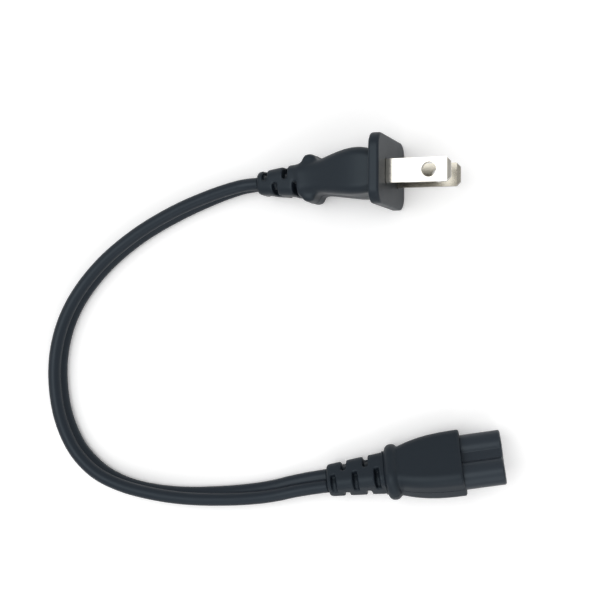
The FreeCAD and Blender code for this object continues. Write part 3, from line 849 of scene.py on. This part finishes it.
class LEAD_OT_stage(Operator):
    """Lays the table, the light and the camera"""
    bl_idname = "lead.stage"
    bl_label = "Stage"

    def execute(self, context):
        settings = context.scene.lead_stage
        build_table(settings)
        build_world(settings)
        build_lamp("window", WINDOW_PLACE, WINDOW_TARGET, WINDOW_WIDTH, settings.window)
        build_lamp("side card", CARD_PLACE, CARD_TARGET, CARD_WIDTH, settings.card)
        build_camera()
        context.scene.view_settings.view_transform = "Standard"
        return {"FINISHED"}


class LEAD_OT_plug(Operator):
    """Finishes the plug's moulding, blades and inner pieces"""
    bl_idname = "lead.plug"
    bl_label = "Plug"

    def execute(self, context):
        finish = context.scene.lead_finish
        sizes = context.scene.lead_moulding
        place = PLUG_FRAME
        plastic = plastic_material("plug moulding", finish.moulding, PLUG_ROUGHNESS, finish.skin,
                                   place)
        piece = softened("plug_body", "plug_moulding", place, sizes.plug_cell, sizes.rounds,
                         WING_STRETCH, sizes.wing_rounds)
        keep_inside(piece.data, *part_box("plug_body"))
        piece.data.materials.append(plastic)
        edges = cut_outline(piece.data, place, MID_PLANE, on_plug_outside)
        line = parting_line("plug_parting_line", edges, sizes.line_radius, sizes.line_step,
                            plastic)
        keep_inside(line.data, *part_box("plug_body"))
        for part in (piece, line):
            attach(part, "root")
        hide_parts("plug_body")
        hard = plastic_material("blade carrier", finish.nose, CARRIER_ROUGHNESS, finish.skin,
                                place)
        nickel = metal_material("nickel plate", finish.nickel, DULL_NICKEL, NICKEL_ROUGHNESS,
                                place)
        # The lower blade gets a darker copy of the same nickel, which is painted shade from the
        # upper blade above it.
        shaded_nickel = metal_material("shaded nickel plate", finish.shaded_nickel, DULL_NICKEL, SHADED_NICKEL_ROUGHNESS,
                               place)
        copper = metal_material("plug copper", COPPER, DULL_COPPER, COPPER_ROUGHNESS, place)
        dress(hard, "blade_carrier")
        dress(nickel, "blade_upper")
        dress(shaded_nickel, "blade_lower")
        dress(copper, "plug_wire_upper", "plug_wire_lower")
        return {"FINISHED"}


class LEAD_OT_cord(Operator):
    """Makes the flat twin cord along its route"""
    bl_idname = "lead.cord"
    bl_label = "Flat cord"

    def execute(self, context):
        settings = context.scene.lead_cord
        finish = context.scene.lead_finish
        piece, points, length = build_cord(settings)
        jacket = plastic_material("cord jacket", finish.jacket, JACKET_ROUGHNESS, finish.skin,
                                  wear=JACKET_WEAR)
        piece.data.materials.append(jacket)
        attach(piece, "root")
        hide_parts("cord")
        return {"FINISHED"}


class LEAD_OT_connector(Operator):
    """Finishes the connector's moulding, nose and contacts"""
    bl_idname = "lead.connector"
    bl_label = "Connector"

    def execute(self, context):
        finish = context.scene.lead_finish
        sizes = context.scene.lead_moulding
        place = CONNECTOR_FRAME
        plastic = plastic_material("connector moulding", finish.moulding, CONNECTOR_ROUGHNESS,
                                   finish.skin, place)
        piece = softened("connector_body", "connector_moulding", place, sizes.connector_cell,
                         sizes.rounds, RELIEF_STRETCH, sizes.relief_rounds)
        keep_inside(piece.data, *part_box("connector_body"))
        piece.data.materials.append(plastic)
        edges = cut_outline(piece.data, place, MID_PLANE, on_connector_outside)
        line = parting_line("connector_parting_line", edges, sizes.line_radius, sizes.line_step,
                            plastic)
        edges = cut_outline(piece.data, place, COLLAR_PLANE, on_collar_outside)
        ring = parting_line("connector_collar_ring", edges, sizes.ring_radius, sizes.line_step,
                            plastic)
        for part in (line, ring):
            keep_inside(part.data, *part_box("connector_body"))
        for part in (piece, line, ring):
            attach(part, "root")
        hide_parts("connector_body")
        hard = plastic_material("nose plastic", finish.nose, NOSE_ROUGHNESS, finish.skin / 2,
                                place)
        brass = metal_material("contact brass", BRASS, DULL_BRASS, BRASS_ROUGHNESS, place)
        copper = metal_material("connector copper", COPPER, DULL_COPPER, COPPER_ROUGHNESS, place)
        dress(hard, "connector_nose")
        dress(brass, "contact_inner", "contact_outer")
        dress(copper, "connector_wire_inner", "connector_wire_outer")
        return {"FINISHED"}


class LEAD_PT_panel(Panel):
    """Sizes, finishes and steps of the lead"""
    bl_idname = "LEAD_PT_panel"
    bl_label = "Mains lead"
    bl_space_type = "VIEW_3D"
    bl_region_type = "UI"
    bl_category = "Lead"

    def draw(self, context):
        layout = self.layout
        scene = context.scene
        for group in (scene.lead_cord, scene.lead_moulding, scene.lead_finish, scene.lead_stage):
            box = layout.box()
            for name in group.__annotations__:
                box.prop(group, name)
        for operator in (LEAD_OT_stage, LEAD_OT_plug, LEAD_OT_cord, LEAD_OT_connector):
            layout.operator(operator.bl_idname)


CLASSES = (LeadCordSettings, LeadMouldingSettings, LeadFinishSettings, LeadStageSettings,
           LEAD_OT_stage, LEAD_OT_plug, LEAD_OT_cord, LEAD_OT_connector, LEAD_PT_panel)


def register():
    """Makes the settings, the operators and the panel known to Blender."""
    for item in CLASSES:
        bpy.utils.register_class(item)
    bpy.types.Scene.lead_cord = PointerProperty(type=LeadCordSettings)
    bpy.types.Scene.lead_moulding = PointerProperty(type=LeadMouldingSettings)
    bpy.types.Scene.lead_finish = PointerProperty(type=LeadFinishSettings)
    bpy.types.Scene.lead_stage = PointerProperty(type=LeadStageSettings)


def unregister():
    """Takes them out again."""
    del bpy.types.Scene.lead_stage
    del bpy.types.Scene.lead_finish
    del bpy.types.Scene.lead_moulding
    del bpy.types.Scene.lead_cord
    for item in reversed(CLASSES):
        bpy.utils.unregister_class(item)


def main():
    """Registers the add-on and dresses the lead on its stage."""
    register()
    bpy.ops.lead.stage()
    bpy.ops.lead.plug()
    bpy.ops.lead.cord()
    bpy.ops.lead.connector()


if __name__ == "__main__":
    main()
